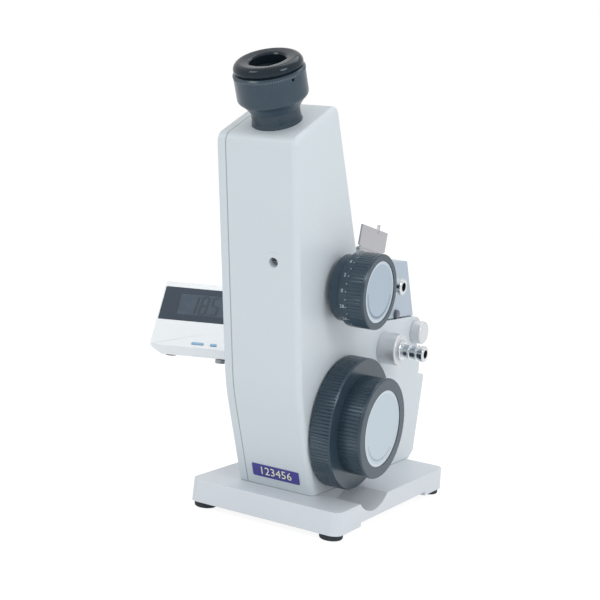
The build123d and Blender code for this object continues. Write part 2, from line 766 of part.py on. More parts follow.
def nipple(stem):
    """A barbed hose nipple about Z: flange at 0, stem below, two barbs and an end collar above."""
    barb = (nipple_length - 5.5) / 2
    points = [(nipple_bore, -stem), (nipple_root, -stem), (nipple_root, 0), (nipple_barb + 1.2, 0),
              (nipple_barb + 1.2, 1.1), (nipple_barb + 0.7, 1.6), (nipple_root, 1.6)]
    for index in range(2):
        start = 1.9 + index * barb
        points += [(nipple_root, start), (nipple_root + 0.2, start + barb - 0.8),
                   (nipple_barb, start + barb - 0.8), (nipple_barb, start + barb - 0.4)]
    points += [(nipple_root, start + barb), (nipple_root, nipple_length - 2.2),
               (nipple_barb, nipple_length - 2.2), (nipple_barb, nipple_length - 0.4),
               (nipple_barb - 0.4, nipple_length), (nipple_bore, nipple_length)]
    return turned(*points)


hub_outline = face_of(
    (nipple_root, -body_right + case_half),
    (spigot_radius, -body_right + case_half),
    (spigot_radius, 0),
    (hub_radius, 0),
    (hub_radius, hub_length - 0.6),
    (hub_radius - 0.6, hub_length),
    (nipple_root, hub_length),
)
right_hub = along_x(body_right, hose_y, hose_z).location * revolve(Plane.XZ * hub_outline, Axis.Z)
left_spigot = rod(spigot_radius, cover_face, -case_half, hose_y, hose_z)
left_spigot -= rod(nipple_root, cover_face, -case_half, hose_y, hose_z)
left_cap = turned((nipple_root, 0), (hub_radius, 0), (hub_radius, hub_length - 0.6),
                  (hub_radius - 0.6, hub_length), (nipple_root, hub_length))
turned_left = Plane((cover_face, hose_y, hose_z), x_dir=(0, 1, 0), z_dir=(-1, 0, 0))
left_hub = turned_left.location * left_cap + left_spigot
save("hose_hubs", right_hub, left_hub)
right_nipple = nipple(body_right + hub_length - port_end)
left_nipple = nipple(-cover_face + hub_length - port_end)
nipple_right_place = along_x(body_right + hub_length, hose_y, hose_z)
nipple_left_place = Plane((cover_face - hub_length, hose_y, hose_z), x_dir=(0, 1, 0), z_dir=(-1, 0, 0))
save("main_hose_nipples", nipple_right_place.location * right_nipple, nipple_left_place.location * left_nipple)

hinge_pin = rod(hinge_pin_radius, body_left - 2, body_right, hinge_y, hinge_z)
pin_head = turned((0, 0), (hinge_knob_radius, 0), (hinge_knob_radius, hinge_knob_length - 0.6),
                  (hinge_knob_radius - 0.6, hinge_knob_length), (0, hinge_knob_length))
hinge_pin += along_x(body_right, hinge_y, hinge_z).location * pin_head
save("prism_hinge_pin", hinge_pin)

# ======== secondary prism unit
upper_outline = face_of(
    (upper_low_front, upper_low),
    (upper_low_rear, upper_low),
    (upper_top_rear, upper_top),
    (upper_top_front, upper_top),
)
upper_case = slab(upper_outline, body_left, upper_right)
reach = hypot(upper_low_rear - hinge_y, upper_low - hinge_z)
swing = atan2(upper_low - hinge_z, upper_low_rear - hinge_y)
touch = swing - atan2((reach**2 - knuckle_radius**2) ** 0.5, knuckle_radius)
knuckle_front = hinge_y - knuckle_radius
arm = face_of(
    (knuckle_front, hinge_z),
    (knuckle_front, upper_low + 1),
    (upper_low_rear - 0.5, upper_low + 1),
    (upper_low_rear, upper_low),
    (hinge_y + knuckle_radius * cos(touch), hinge_z + knuckle_radius * sin(touch)),
    (hinge_y, hinge_z),
)
upper_case += slab(arm + Pos(hinge_y, hinge_z) * Circle(knuckle_radius), -knuckle_half, knuckle_half)
upper_case -= rod(hinge_pin_radius + running_gap, -20, 20, hinge_y, hinge_z)
upper_floor = prism_top + film_gap
upper_prism = face_of((3.0, upper_floor), (46.0, upper_floor), (25.0, 119.0), (20.0, 119.0))
upper_case -= slab(upper_prism, -prism_half, prism_half)
window_right = shutter_x - window_margin + 0.6
upper_case -= block(window_left + 2.2, window_right, -6, 16, 106.5, upper_top + 1)
upper_case += rod(upper_boss_radius, upper_right, upper_right + upper_boss_length, upper_hose_y, upper_hose_z)
upper_case += rod(upper_boss_radius, body_left - upper_boss_length, body_left, upper_hose_y, upper_hose_z)
for x0, x1 in ((body_left - upper_boss_length, body_left + 5), (upper_right - 5, upper_right + upper_boss_length)):
    upper_case -= rod(nipple_root, x0, x1, upper_hose_y, upper_hose_z)
upper_case -= rod(latch_radius + running_gap, upper_right - 6, upper_right, latch_y, latch_z)
save("secondary_prism_case", upper_case)
save("secondary_prism", slab(upper_prism, -prism_half, prism_half))
upper_nipple = nipple(upper_boss_length + 5.0)
upper_right_place = along_x(upper_right + upper_boss_length, upper_hose_y, upper_hose_z)
upper_left_place = Plane((body_left - upper_boss_length, upper_hose_y, upper_hose_z),
                         x_dir=(0, 1, 0), z_dir=(-1, 0, 0))
save("secondary_hose_nipples", upper_right_place.location * upper_nipple, upper_left_place.location * upper_nipple)
latch = turned((0, 0), (latch_radius, 0), (latch_radius, 4 + latch_proud - 0.4),
               (latch_radius - 0.4, 4 + latch_proud), (0, 4 + latch_proud))
save("latch_button", along_x(upper_right - 4, latch_y, latch_z).location * latch)

# Window frame: a wedge on the roof whose top is parallel to the shutter's hinge.
lean_down = radians(shutter_tilt)
wedge_front = shutter_front_y - 2.2
wedge_high = shutter_front_z + 2.2 * tan(lean_down)
wedge_rear = shutter_front_y + (shutter_front_z - upper_top) / tan(lean_down)
frame_outline = face_of((wedge_front, upper_top), (wedge_rear, upper_top), (wedge_front, wedge_high))
frame = slab(frame_outline, window_left, shutter_x + 1.6)
frame_plane = Plane((shutter_x, shutter_front_y, shutter_front_z),
                    x_dir=(0, cos(lean_down), -sin(lean_down)), z_dir=(0, sin(lean_down), cos(lean_down)))
# In the frame plane: local x runs along the shutter's hinge, local y points to -X.
opening = block(2.0, 23.2, 2.4, shutter_x - window_left - 2.2, -12, 1)
frame -= frame_plane.location * opening
seat = block(1.2, 24.0, 1.6, shutter_x - window_left - 1.4, -1.2, 1)
frame -= frame_plane.location * seat
pin_place = frame_plane.location * Pos(0, 0, shutter_knuckle + 0.1) * Rot(0, 90, 0)
lug_length = 1.3
for start in (0.1, shutter_length - 0.1 - lug_length):
    lug = pin_place * Pos(0, 0, start + lug_length / 2) * Cylinder(shutter_knuckle, lug_length)
    lug_foot = frame_plane.location * block(start, start + lug_length, -1.3, 1.3, -1.5, shutter_knuckle)
    frame += lug + lug_foot
frame -= slab(face_of((-40, 80), (60, 80), (60, upper_top), (-40, upper_top)), -30, 30)
frame -= pin_place * Pos(0, 0, shutter_length / 2) * Cylinder(shutter_pin_radius, shutter_length + 8)
save("light_window_frame", frame)
pane = block(1.25, 23.95, 1.65, shutter_x - window_left - 1.45, -1.2, -0.05)
save("light_window", frame_plane.location * pane)
shutter_pin = pin_place * Pos(0, 0, shutter_length / 2) * Cylinder(shutter_pin_radius, shutter_length - 0.2)
save("shutter_pin", shutter_pin)
notch = lug_length + 0.3
shutter = pin_place * Pos(0, 0, shutter_length / 2) * Cylinder(shutter_knuckle, shutter_length - 2 * notch)
sheet_half = shutter_thickness / 2
sheet = block(notch, shutter_length - notch, -sheet_half, sheet_half, shutter_knuckle, shutter_height)
sheet += block(0, shutter_length, -sheet_half, sheet_half, 2 * shutter_knuckle + 0.8, shutter_height)
shutter += frame_plane.location * sheet
shutter += frame_plane.location * post(0.8, shutter_height - 2, shutter_height + 2.6, grip_at, 0)
shutter -= pin_place * Pos(0, 0, shutter_length / 2) * Cylinder(shutter_pin_radius + running_gap, 60)
save("shutter_plate", shutter)

# ======== thermometer console on its bracket
yaw = radians(console_yaw)
console = Plane((console_x, console_y, console_low), x_dir=(cos(yaw), sin(yaw), 0), z_dir=(0, 0, 1))
side_outline = face_of(
    (0, 0),
    (0, console_lip),
    (console_run, console_height),
    (console_depth, console_height),
    (console_depth, 0),
)
shell = slab(side_outline, 0, console_width)
shell = fillet(shell.edges().filter_by(Axis.Z), 1.6)
inner = slab(offset(side_outline, -console_wall, kind=Kind.INTERSECTION), console_wall, console_width - console_wall)


def chine(grown, x, side):
    """The wedge under a lower side edge, where the console's side is cut back."""
    corner = face_of((x, 0), (x + side * grown * chine_width, 0), (x, grown * chine_height))
    return extrude(Plane.XZ * corner, -console_depth)


inner_grown = 1 + console_wall * hypot(1 / chine_width, 1 / chine_height)
for x, side in ((0, 1), (console_width, -1)):
    shell -= chine(1, x, side)
    inner -= chine(inner_grown, x, side)
shell -= inner
tray_side = chine_width + 1.2
shell -= block(tray_side, console_width - tray_side, console_wall, console_depth - console_wall, -1, console_wall + 1)
rise = atan2(console_height - console_lip, console_run)
slope = Plane((0, 0, console_lip), x_dir=(1, 0, 0), z_dir=(0, -sin(rise), cos(rise)))
panel_edge = 0.8
panel_top = panel_start + panel_length
shell -= slope.location * block(panel_edge, console_width - panel_edge, panel_start, panel_top, -1.0, 1)
shell -= slope.location * block(lcd_left - 1, lcd_right + 1, panel_start + lcd_low - 1, panel_start + lcd_high + 1, -4, 0)


def button_hole(at, width, margin, low, high):
    return block(at - width / 2 - margin, at + width / 2 + margin,
                 button_up - button_depth / 2 - margin, button_up + button_depth / 2 + margin, low, high)


shell -= slope.location * button_hole(mode_button_at, mode_button_width, 0.15, -9, 1)
shell -= slope.location * button_hole(hold_button_at, hold_button_width, 0.15, -9, 1)
save("thermometer_case", console.location * shell)

tray_gap = 0.1
tray_low = console_wall + tray_gap
tray_x = tray_side + tray_gap
thermometer_tray = block(tray_x, console_width - tray_x, tray_low, console_depth - tray_low, 0, console_wall)
rear_foot_edge = 9.0
screw_to_rear_foot = 10.0
console_screw_spots = [(36.0, 22.0), (36.0, console_depth - rear_foot_edge - screw_to_rear_foot)]
for x, y in console_screw_spots:
    thermometer_tray += post(3.2, 2, 6, x, y)
    thermometer_tray -= post(m3_radius - 0.2, -1, 5.2, x, y)
save("thermometer_tray", console.location * thermometer_tray)
foot_inset = tray_x + small_foot_radius
small_feet = [console.location * post(small_foot_radius, -small_foot_height, 0, x, y)
              for x in (foot_inset, console_width - foot_inset) for y in (7.5, console_depth - rear_foot_edge)]
save("thermometer_feet", *small_feet)
window = block(panel_edge + 0.05, console_width - panel_edge - 0.05, panel_start + 0.05, panel_top - 0.05, -1.0, 0.05)
save("display_window", console.location * slope.location * window)
lcd = block(lcd_left - 0.8, lcd_right + 0.8, panel_start + lcd_low - 0.8, panel_start + lcd_high + 0.8, -3.2, -1.0)
save("lcd_panel", console.location * slope.location * lcd)
board = block(6, console_width - 6, panel_start + 3, panel_start + 29, -5.2, -3.2)
save("circuit_board", console.location * slope.location * board)
for name, at, width in (("mode_button", mode_button_at, mode_button_width),
                        ("hold_button", hold_button_at, hold_button_width)):
    save(name, console.location * slope.location * button_hole(at, width, 0, -3.2, button_rise))

plate_top = console_low - small_foot_height
plate_low = plate_top - bracket_thickness
shelf_plate = face_of((-81.0, -9.0), (cover_face, -1.0), (cover_face, 26.0), (-82.0, 21.0))
bracket = extrude(Pos(0, 0, plate_low) * shelf_plate, bracket_thickness)
bracket += block(cover_face - bracket_thickness, cover_face, -1.0, 26.0, 49.0, plate_top)
spacers = [console.location * post(4.0, -small_foot_height, 0, x, y) for x, y in console_screw_spots]
for spacer in spacers:
    bracket += spacer
for y, z in bracket_screw_spots:
    bracket -= rod(m3_radius + running_gap, cover_face - 5, cover_face, y, z)
for x, y in console_screw_spots:
    bracket -= console.location * post(m3_radius + running_gap, -9, 1, x, y)
save("thermometer_bracket", bracket)
bracket_screw = post(m3_head, -2.2, 0) + post(m3_radius - 0.2, 0, 5.4)
bracket_screw -= extrude(Pos(0, 0, -2.2) * RegularPolygon(1.4, 6), 1.2)
bracket_screws = [Plane((cover_face - bracket_thickness, y, z), x_dir=(0, 1, 0), z_dir=(1, 0, 0)).location
                  * bracket_screw for y, z in bracket_screw_spots]
under = -small_foot_height - bracket_thickness
bracket_screws += [console.location * Pos(x, y, under) * (post(m3_head, -2.2, 0) + post(m3_radius - 0.2, 0, 8.2)
                   - extrude(Pos(0, 0, -2.2) * RegularPolygon(1.4, 6), 1.2)) for x, y in console_screw_spots]
save("bracket_screws", *bracket_screws)
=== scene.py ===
import json
import math

import bmesh
import bpy
from mathutils import Matrix, Vector

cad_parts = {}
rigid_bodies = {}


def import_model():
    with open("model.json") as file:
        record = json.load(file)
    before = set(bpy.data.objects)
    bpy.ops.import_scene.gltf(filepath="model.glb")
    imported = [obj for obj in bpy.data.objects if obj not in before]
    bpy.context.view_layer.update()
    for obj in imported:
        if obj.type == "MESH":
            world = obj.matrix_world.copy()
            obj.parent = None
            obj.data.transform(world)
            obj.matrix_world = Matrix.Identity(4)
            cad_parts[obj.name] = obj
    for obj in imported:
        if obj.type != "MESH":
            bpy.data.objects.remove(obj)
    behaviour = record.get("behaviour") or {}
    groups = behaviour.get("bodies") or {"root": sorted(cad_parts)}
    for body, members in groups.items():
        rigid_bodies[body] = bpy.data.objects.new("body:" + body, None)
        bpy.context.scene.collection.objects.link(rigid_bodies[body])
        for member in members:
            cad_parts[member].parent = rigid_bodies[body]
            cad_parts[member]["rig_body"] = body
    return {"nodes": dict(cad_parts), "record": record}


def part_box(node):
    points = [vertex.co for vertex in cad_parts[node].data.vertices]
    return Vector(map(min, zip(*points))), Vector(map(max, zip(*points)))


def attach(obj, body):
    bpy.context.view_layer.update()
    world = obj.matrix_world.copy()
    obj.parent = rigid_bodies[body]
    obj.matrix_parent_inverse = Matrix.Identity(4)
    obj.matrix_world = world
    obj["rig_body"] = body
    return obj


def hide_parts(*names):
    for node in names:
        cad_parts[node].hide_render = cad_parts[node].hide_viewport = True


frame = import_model()
nodes = frame["nodes"]
bodyOf = {name: thing["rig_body"] for name, thing in nodes.items()}
slotOf = {part["node"]: part["material_slot"] for part in frame["record"]["subparts"]}
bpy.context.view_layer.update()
scene = bpy.context.scene
mm = 0.001
print("frame loaded:", len(nodes), "solids")


def turn(degrees):
    return math.radians(degrees)


# Places are written from the middle of the base plate, in millimetres, and moved to the frame's origin.
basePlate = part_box("base_plate")
baseMiddle = Vector(((basePlate[0][0] + basePlate[1][0]) / 2, (basePlate[0][1] + basePlate[1][1]) / 2, 0)) / mm


def fromBase(x, y, z):
    return Vector((x, y, z)) + baseMiddle


# ---- camera: stands to the right of the reader, looking a little down
view = {"place": (288.2, -562.1, 178.7), "azimuth": 29.47, "down": 6.33, "roll": 5.1,
        "focal": 1233.6, "middle": (291.2, 288.9), "frame": 600.0}


def aimCamera(v):
    a, e, r = turn(v["azimuth"]), turn(v["down"]), turn(v["roll"])
    ahead = Vector((-math.sin(a) * math.cos(e), math.cos(a) * math.cos(e), -math.sin(e)))
    right = Vector((math.cos(a), math.sin(a), 0))
    up = right.cross(ahead)
    rolledRight = right * math.cos(r) + up * math.sin(r)
    rolledUp = up * math.cos(r) - right * math.sin(r)
    data = bpy.data.cameras.new("viewCamera")
    data.sensor_width = 36
    data.lens = v["focal"] / v["frame"] * 36
    data.shift_x = (v["frame"] / 2 - v["middle"][0]) / v["frame"]
    data.shift_y = (v["middle"][1] - v["frame"] / 2) / v["frame"]
    data.clip_start = 0.02
    data.clip_end = 20
    eye = bpy.data.objects.new("viewCamera", data)
    turned = Matrix((rolledRight, rolledUp, -ahead)).transposed().to_4x4()
    eye.matrix_world = Matrix.Translation(fromBase(*v["place"]) * mm) @ turned
    scene.collection.objects.link(eye)
    scene.camera = eye


aimCamera(view)
scene.view_settings.view_transform = "Standard"


# ---- shader arithmetic
def join(tree, value, slot):
    if isinstance(value, Wire):
        tree.links.new(value.socket, slot)
    elif value is not None:
        slot.default_value = value


class Wire:
    def __init__(self, socket):
        self.socket = socket
        self.tree = socket.id_data

    def maths(self, operation, other, swapped=False):
        step = self.tree.nodes.new("ShaderNodeMath")
        step.operation = operation
        pair = (other, self) if swapped else (self, other)
        for value, slot in zip(pair, step.inputs):
            join(self.tree, value, slot)
        return Wire(step.outputs[0])

    def __add__(self, other):
        return self.maths("ADD", other)

    def __sub__(self, other):
        return self.maths("SUBTRACT", other)

    def __rsub__(self, other):
        return self.maths("SUBTRACT", other, True)

    def __mul__(self, other):
        return self.maths("MULTIPLY", other)

    def __lt__(self, other):
        return self.maths("LESS_THAN", other)

    def __gt__(self, other):
        return self.maths("GREATER_THAN", other)

    def __abs__(self):
        return self.maths("ABSOLUTE", None)


def addNode(tree, kind, settings, out, values):
    step = tree.nodes.new(kind)
    for key, value in (settings or {}).items():
        setattr(step, key, value)
    for key, value in values.items():
        # i0, i1 and so on take a socket by its number, where several have the same name
        numbered = key[0] == "i" and key[1:].isdigit()
        join(tree, value, step.inputs[int(key[1:]) if numbered else key])
    return Wire(step.outputs[out])


class Finish:
    def __init__(self, name, **plain):
        self.material = bpy.data.materials.new(name)
        self.material.use_nodes = True
        self.tree = self.material.node_tree
        self.shader = self.tree.nodes["Principled BSDF"]
        for key, value in plain.items():
            self.shader.inputs[socketNames[key]].default_value = value

    def node(self, kind, settings=None, out=0, **values):
        return addNode(self.tree, "ShaderNode" + kind, settings, out, values)

    def place(self):
        return self.node("TexCoord", out=3)

    def noise(self, size, detail=3.0, rough=0.5, stretch=None):
        spot = self.place()
        if stretch:
            spot = self.node("Mapping", i0=spot, i3=stretch)
        return self.node("TexNoise", Vector=spot, Scale=1 / (size * mm), Detail=detail, Roughness=rough)

    def mixed(self, mask, first, second):
        return self.node("Mix", {"data_type": "RGBA"}, out=2, i0=mask, i6=first, i7=second)

    def offset(self, x, y, z):
        return self.node("VectorMath", {"operation": "SUBTRACT"}, i0=self.place(), i1=fromBase(x, y, z) * mm)

    def fromLine(self, x, y, z, along):
        # distance from a line through a point; along has 0 in the line's own direction
        flat = self.node("VectorMath", {"operation": "MULTIPLY"}, i0=self.offset(x, y, z), i1=along)
        return self.node("VectorMath", {"operation": "LENGTH"}, out=1, i0=flat)

    def bump(self, height, strength, depth):
        return self.node("Bump", Height=height, Strength=strength, Distance=depth * mm)

    def feed(self, **links):
        for key, value in links.items():
            join(self.tree, value, self.shader.inputs[socketNames[key]])
        return self.material


socketNames = {"colour": "Base Color", "rough": "Roughness", "metal": "Metallic", "normal": "Normal",
               "coat": "Coat Weight", "coatRough": "Coat Roughness", "see": "Transmission Weight",
               "ior": "IOR", "gloss": "Specular IOR Level", "glossTint": "Specular Tint"}

# colours in 0 to 255
colours = {
    "body": (203, 212, 217), "base": (206, 212, 218), "prism": (168, 182, 195), "black": (42, 56, 68),
    "blackDeep": (26, 35, 43), "grip": (47, 62, 74), "knurl": (84, 96, 106), "latch": (92, 96, 108),
    "steel": (150, 154, 158), "satin": (215, 218, 221), "chrome": (214, 219, 223), "brass": (198, 164, 92),
    "silver": (235, 237, 238), "shutter": (180, 180, 184), "rubber": (44, 50, 56),
    "disc": (188, 201, 210), "discEdge": (204, 214, 222),
    "dialDisc": (168, 184, 197), "dialDiscEdge": (196, 208, 218),
    "glass": (226, 238, 240), "frost": (230, 238, 242), "windowGrey": (176, 184, 190),
    "white": (238, 242, 245), "key": (148, 186, 214),
    "smoke": (34, 48, 64), "lcd": (52, 68, 84), "digit": (26, 38, 52),
    "board": (18, 84, 52), "track": (58, 120, 70), "label": (66, 60, 140), "labelInk": (226, 228, 196),
    "paint": (176, 186, 191), "stroke": (66, 80, 94), "faintStroke": (128, 144, 158), "floor": (248, 249, 250),
}


def tint(name):
    return tuple((c / 255 / 12.92) if c <= 10 else ((c / 255 + 0.055) / 1.055) ** 2.4
                 for c in colours[name]) + (1.0,)


def scaled(colour, factor):
    return tuple(min(1.0, c * factor) for c in colour[:3]) + (1.0,)


# width and strength of the painted shade along the cover joint and at the foot of the housing
jointShade = {"half": 0.28, "seamShade": 0.6, "footShade": 0.55, "shade": 0.22}


def enamel(name, colour, rough=0.42, shadedJoints=None):
    f = Finish(name, coat=0.12, coatRough=0.35, gloss=0.45)
    cloud = f.noise(38, 2.0)
    speck = f.noise(0.9, 2.0)
    base = f.mixed(cloud, scaled(colour, 0.975), scaled(colour, 1.02))
    base = f.mixed((speck > 0.66) * 0.25, base, scaled(colour, 0.93))
    if shadedJoints is not None:
        # painted shade along the joint line between the side cover and the housing, and painted contact shade low
        # on the housing where both stand on the base
        across, foot = shadedJoints
        x = f.node("SeparateXYZ", i0=f.place())
        z = f.node("SeparateXYZ", out=2, i0=f.place())
        line = (abs(x - fromBase(across, 0, 0)[0] * mm) < jointShade["half"] * mm) * jointShade["seamShade"]
        line = line.maths("MAXIMUM", (z < foot * mm) * jointShade["footShade"])
        base = f.mixed(line, base, scaled(colour, jointShade["shade"]))
    peel = f.noise(1.3, 2.0)
    return f.feed(colour=base, rough=(cloud - 0.5) * 0.10 + (speck - 0.5) * 0.08 + rough,
                  normal=f.bump(peel, 0.10, 0.06))


acrossX = (0, 1, 1)
boreShade = (0.004, 0.005, 0.006, 1.0)


def blackMould(name, colour, rough=0.38, grain=0.25, size=0.35, gloss=0.5):
    f = Finish(name, gloss=gloss, glossTint=(0.82, 0.94, 1.0, 1.0))
    cloud = f.noise(7, 3.0)
    grains = f.noise(size, 2.0)
    base = f.mixed(cloud, scaled(colour, 0.8), scaled(colour, 1.25))
    base = f.mixed((grains > 0.62) * 0.3, base, scaled(colour, 1.7))
    return f.feed(colour=base, rough=(cloud - 0.5) * 0.15 + rough, normal=f.bump(grains, grain, 0.05))


def turnedMetal(name, colour, rough=0.28, metal=1.0, along=(1.0, 40.0, 40.0), size=4.0, depth=0.02):
    f = Finish(name, metal=metal)
    lines = f.noise(size, 3.0, 0.6, stretch=along)
    cloud = f.noise(6, 2.0)
    base = f.mixed(lines, scaled(colour, 0.86), scaled(colour, 1.08))
    return f.feed(colour=base, rough=(lines - 0.5) * 0.14 + (cloud - 0.5) * 0.08 + rough,
                  normal=f.bump(lines, 0.25, depth))


def spunDisc(name, colour, axis, ring, edge, metal=0.35, rough=0.42):
    f = Finish(name, metal=metal)
    radius = f.fromLine(0, *axis, acrossX)
    turned = f.node("TexNoise", {"noise_dimensions": "1D"}, W=radius, Scale=1 / (0.12 * mm), Detail=3.0)
    cloud = f.noise(9, 2.0)
    inner = f.mixed(turned, scaled(colour, 0.96), scaled(colour, 1.03))
    base = f.mixed(radius > ring * mm, inner, edge)
    return f.feed(colour=base, rough=(turned - 0.5) * 0.12 + (cloud - 0.5) * 0.06 + rough,
                  normal=f.bump(turned, 0.12, 0.01))


def nippleChrome(name, colour, axes, bore):
    f = Finish(name, metal=1.0)
    lines = f.noise(3, 3.0, 0.6, stretch=(30.0, 1.0, 1.0))
    base = f.mixed(lines, scaled(colour, 0.88), scaled(colour, 1.05))
    inside = f.fromLine(0, *axes[0], acrossX) < bore * mm
    inside = inside.maths("MAXIMUM", f.fromLine(0, *axes[1], acrossX) < bore * mm)
    base = f.mixed(inside, base, boreShade)
    return f.feed(colour=base, metal=1 - inside, rough=(lines - 0.5) * 0.1 + inside * 0.6 + 0.16,
                  normal=f.bump(lines, 0.15, 0.01))


def rubberFinish(name, colour):
    f = Finish(name, gloss=0.3)
    dust = f.noise(1.6, 4.0)
    base = f.mixed(dust, scaled(colour, 0.75), scaled(colour, 1.5))
    return f.feed(colour=base, rough=(dust - 0.5) * 0.2 + 0.72, normal=f.bump(dust, 0.35, 0.08))


def glassFinish(name, colour, rough=0.02, frost=0.0):
    f = Finish(name, see=1.0, ior=1.52, gloss=0.5)
    haze = f.noise(2.2, 3.0)
    base = f.mixed(haze, scaled(colour, 0.97), colour)
    return f.feed(colour=base, rough=haze * frost * 0.2 + (rough + frost * 0.5))


def boardFinish(name):
    f = Finish(name)
    tracks = f.node("TexBrick", {"offset": 0.5}, out=1, Vector=f.place(), Scale=260.0)
    fleck = f.noise(0.8, 2.0)
    base = f.mixed(tracks * 0.5, tint("board"), tint("track"))
    return f.feed(colour=base, rough=(fleck - 0.5) * 0.2 + 0.45)


print("shaders ready")

# ---- finishes; axes that run along X are written as (y, z)
dialAxis = (-38.95, 116.78)
wheelAxis = (-24.6, 49.2)
hoseAxes = ((17.7, 81.8), (-2.3, 116.8))
hoseBore = 2.25
seamX = -18.0
baseTop = basePlate[1][2] / mm
# below this height the housing enamel gets painted contact shade where it stands on the base
contactShadeTop = baseTop + 0.35
finishes = {
    "body_enamel": enamel("housingEnamel", tint("body"), shadedJoints=(seamX, contactShadeTop)),
    "base_enamel": enamel("baseEnamel", tint("base")),
    "prism_shell": enamel("prismShellEnamel", tint("prism"), rough=0.34),
    "black_grip": blackMould("gripPlastic", tint("grip"), rough=0.24, grain=0.05),
    "black_gloss": blackMould("glossPlastic", tint("blackDeep"), rough=0.06, grain=0.02, gloss=0.3),
    "black_metal": blackMould("blackAnodised", tint("black"), rough=0.28, grain=0.06),
    "satin_disc": spunDisc("satinDisc", tint("disc"), wheelAxis, 17.6, tint("discEdge")),
    "satin_metal": turnedMetal("satinMetal", tint("satin"), rough=0.36, metal=0.5),
    "bright_metal": nippleChrome("nippleChrome", tint("chrome"), hoseAxes, hoseBore),
    "steel": turnedMetal("machinedSteel", tint("steel"), rough=0.32),
    "brass": turnedMetal("machinedBrass", tint("brass"), rough=0.3),
    "rubber": rubberFinish("footRubber", tint("rubber")),
    "clear_glass": glassFinish("opticalGlass", tint("glass")),
    "frosted_glass": glassFinish("frostedGlass", tint("frost"), frost=0.8),
    "silvered": turnedMetal("silvering", tint("silver"), rough=0.04, depth=0.001),
    "white_plastic": enamel("consolePlastic", tint("white"), rough=0.36),
    "grey_plastic": enamel("windowFramePlastic", tint("windowGrey"), rough=0.45),
    "lcd": blackMould("lcdFilm", tint("lcd"), rough=0.22, grain=0.01),
    "board": boardFinish("circuitBoard"),
    "label": enamel("labelFilm", tint("label"), rough=0.3),
    "button_blue": enamel("keyPlastic", tint("key"), rough=0.4),
    "smoked_window": blackMould("smokedWindow", tint("smoke"), rough=0.12, grain=0.02),
}
print("finishes:", len(finishes))


# ---- geometry trees
class Grower:
    # a geometry tree with named sizes; grow() turns it into a plain mesh piece
    def __init__(self, name, **sizes):
        self.name = name
        self.sizes = sizes
        self.tree = bpy.data.node_groups.new(name, "GeometryNodeTree")
        self.tree.interface.new_socket(name="Geometry", in_out="OUTPUT", socket_type="NodeSocketGeometry")
        self.sockets = {}
        for key, value in sizes.items():
            kind = "NodeSocketInt" if isinstance(value, int) else "NodeSocketFloat"
            self.sockets[key] = self.tree.interface.new_socket(name=key, in_out="INPUT", socket_type=kind)
        self.given = self.tree.nodes.new("NodeGroupInput")

    def size(self, key):
        return Wire(self.given.outputs[key])

    def node(self, kind, settings=None, out=0, **values):
        return addNode(self.tree, kind, settings, out, values)

    def close(self, shape, material):
        whole = self.node("GeometryNodeRealizeInstances", Geometry=shape)
        done = self.node("GeometryNodeSetMaterial", Geometry=whole, Material=material)
        end = self.tree.nodes.new("NodeGroupOutput")
        join(self.tree, done, end.inputs[0])

    def grow(self, name, seat, **sizes):
        piece = link(name, bpy.data.meshes.new(name + "Seed"))
        step = piece.modifiers.new("grow", "NODES")
        step.node_group = self.tree
        for key, value in {**self.sizes, **sizes}.items():
            step[self.sockets[key].identifier] = value
        settled(piece)
        piece.data.transform(seat)
        return piece


def barRing(name, material):
    # bars set on a circle about Z: ribs when they stand on a rim, strokes when they lie on a face
    g = Grower(name, Count=60, Sides=6, Radius=0.01, Start=0.0, Step=0.1, Depth=0.001, Width=0.0005, Length=0.001)
    row = g.node("GeometryNodeMeshLine", {"mode": "OFFSET"}, Count=g.size("Count"))
    turned = g.node("GeometryNodeInputIndex") * g.size("Step") + g.size("Start")
    spot = g.node("ShaderNodeCombineXYZ", X=turned.maths("COSINE", None) * g.size("Radius"),
                  Y=turned.maths("SINE", None) * g.size("Radius"))
    row = g.node("GeometryNodeSetPosition", Geometry=row, Position=spot)
    facing = g.node("FunctionNodeEulerToRotation", Euler=g.node("ShaderNodeCombineXYZ", Z=turned))
    bar = g.node("GeometryNodeMeshCylinder", Vertices=g.size("Sides"), Radius=0.5, Depth=1.0)
    spread = g.node("ShaderNodeCombineXYZ", X=g.size("Depth"), Y=g.size("Width"), Z=g.size("Length"))
    bars = g.node("GeometryNodeInstanceOnPoints", Points=row, Instance=bar, Rotation=facing, Scale=spread)
    g.close(bars, material)
    return g


def alongX(x, y, z):
    # a piece made about Z goes on an axis that runs along +X
    turned = Matrix(((0, 0, 1), (1, 0, 0), (0, 1, 0))).to_4x4()
    return Matrix.Translation(fromBase(x, y, z) * mm) @ turned


def plane(origin, across, up):
    out = across.cross(up)
    return Matrix.Translation(origin * mm) @ Matrix((across, up, out)).transposed().to_4x4()


# ---- pieces
def link(name, mesh):
    piece = bpy.data.objects.new(name, mesh)
    scene.collection.objects.link(piece)
    return piece


def meshFrom(work, name):
    mesh = bpy.data.meshes.new(name)
    work.to_mesh(mesh)
    work.free()
    return mesh


def settled(piece):
    bpy.context.view_layer.update()
    graph = bpy.context.evaluated_depsgraph_get()
    mesh = bpy.data.meshes.new_from_object(piece.evaluated_get(graph))
    piece.modifiers.clear()
    piece.data = mesh
    return piece


def dress(piece, finish, body, replaced=()):
    piece.data.materials.clear()
    piece.data.materials.append(finish)
    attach(piece, body)
    if replaced:
        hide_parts(*replaced)
    return piece


weld = 0.003
flatWithin = 0.6


